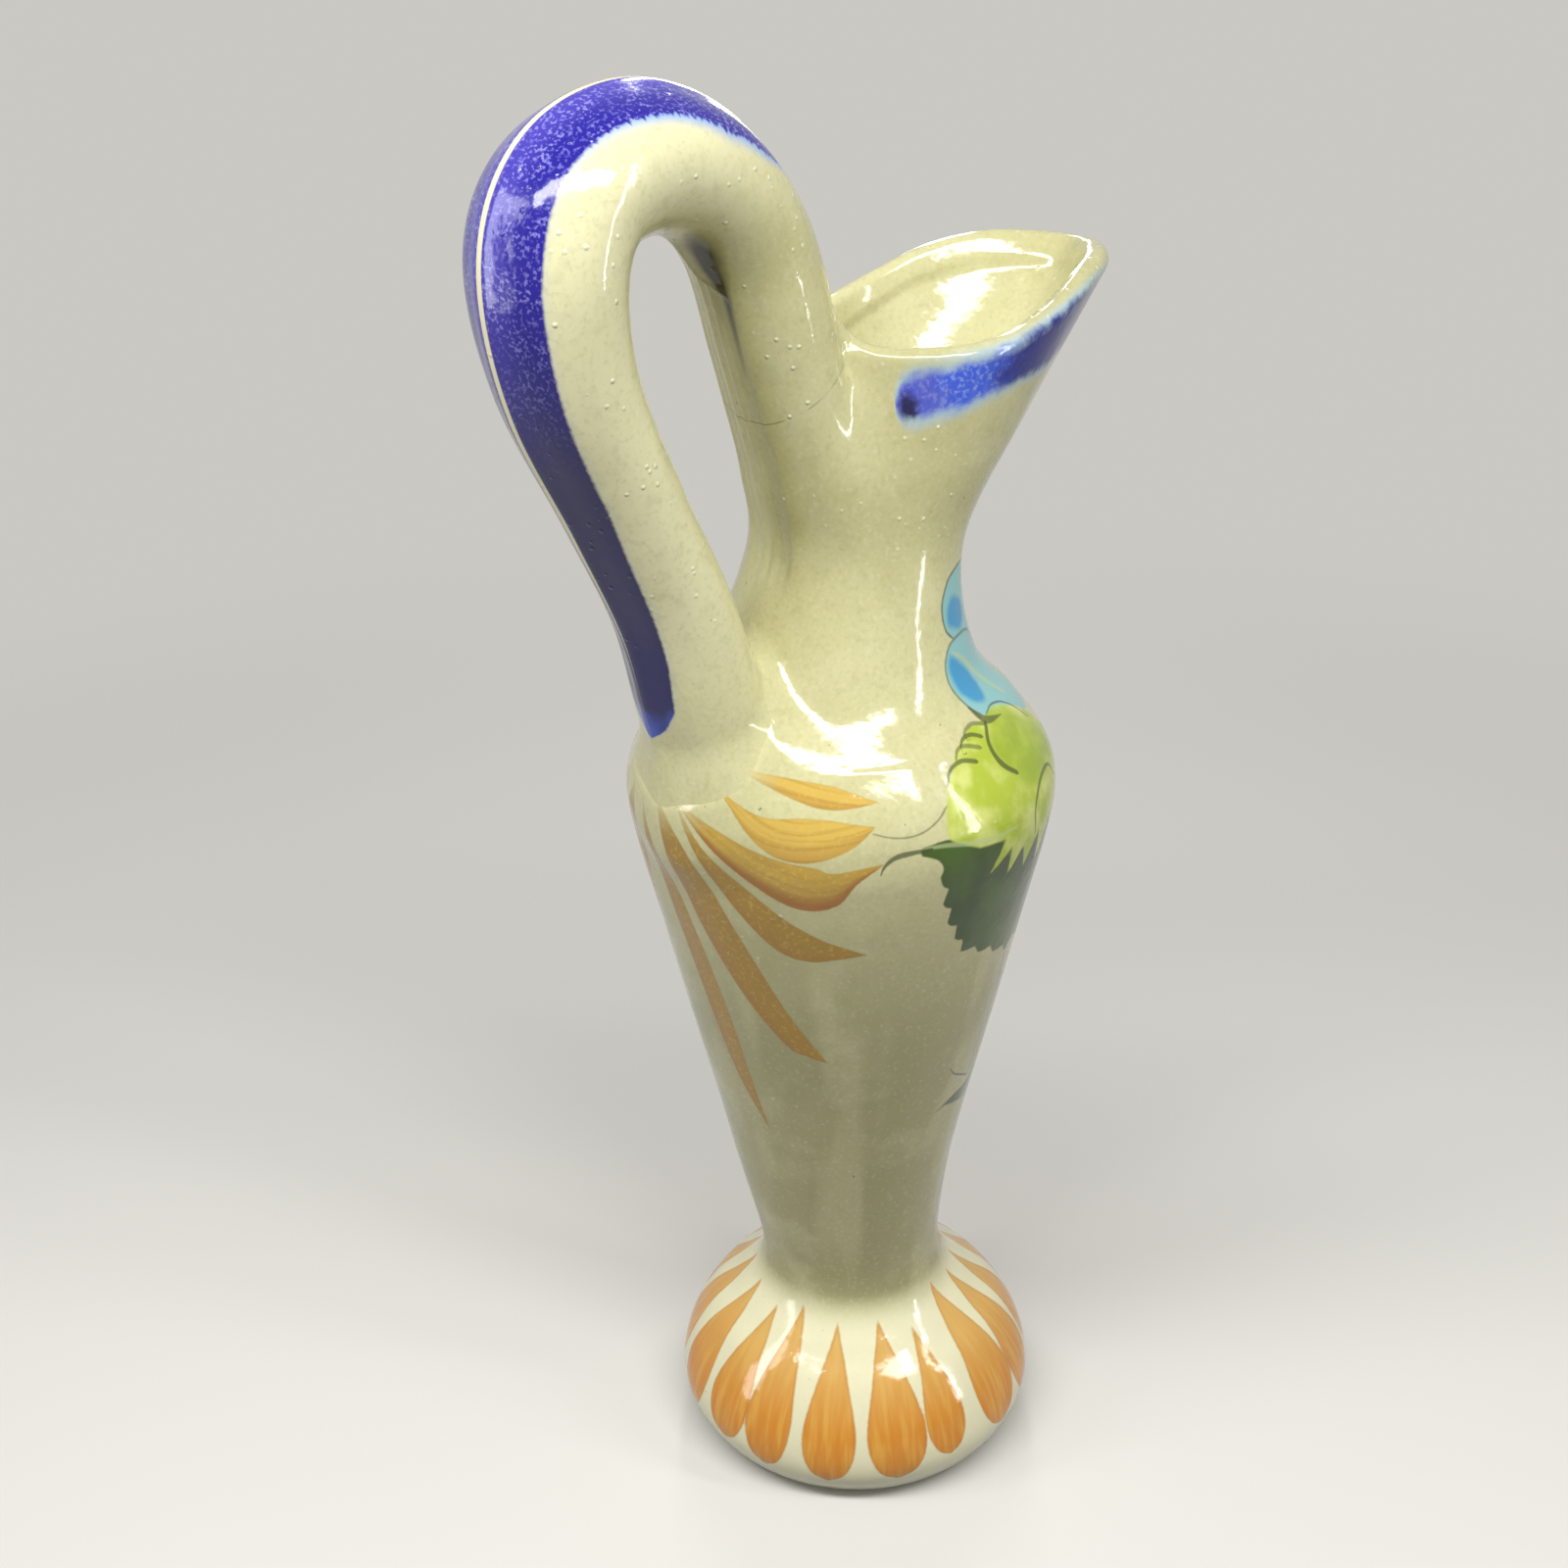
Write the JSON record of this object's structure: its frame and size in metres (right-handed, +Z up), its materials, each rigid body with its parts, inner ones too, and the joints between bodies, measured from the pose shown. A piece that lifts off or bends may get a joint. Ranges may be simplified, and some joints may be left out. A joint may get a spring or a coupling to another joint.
{
  "type": "pottery pitcher",
  "caption": "Glazed stoneware pitcher with a bun foot, baluster body, leaf-shaped pouring mouth and a high hollow loop handle.",
  "frame": {"origin": "centre of the foot on the table", "axes": "+Z up along the turned axis, +X towards the spout, -X towards the handle"},
  "size_m": [0.1378, 0.084, 0.2902],
  "materials": {
    "glazed_stoneware": "glossy celadon-cream glaze over painted stoneware",
    "luting_slip": "thin fired slip, glazed over"
  },
  "bodies": {
    "root": {"foot": "glazed_stoneware", "body": "glazed_stoneware", "neck": "glazed_stoneware", "handle": "glazed_stoneware", "foot_seam": "luting_slip", "neck_seam": "luting_slip", "handle_top_seam": "luting_slip", "handle_root_seam": "luting_slip"}
  },
  "joints": []
}
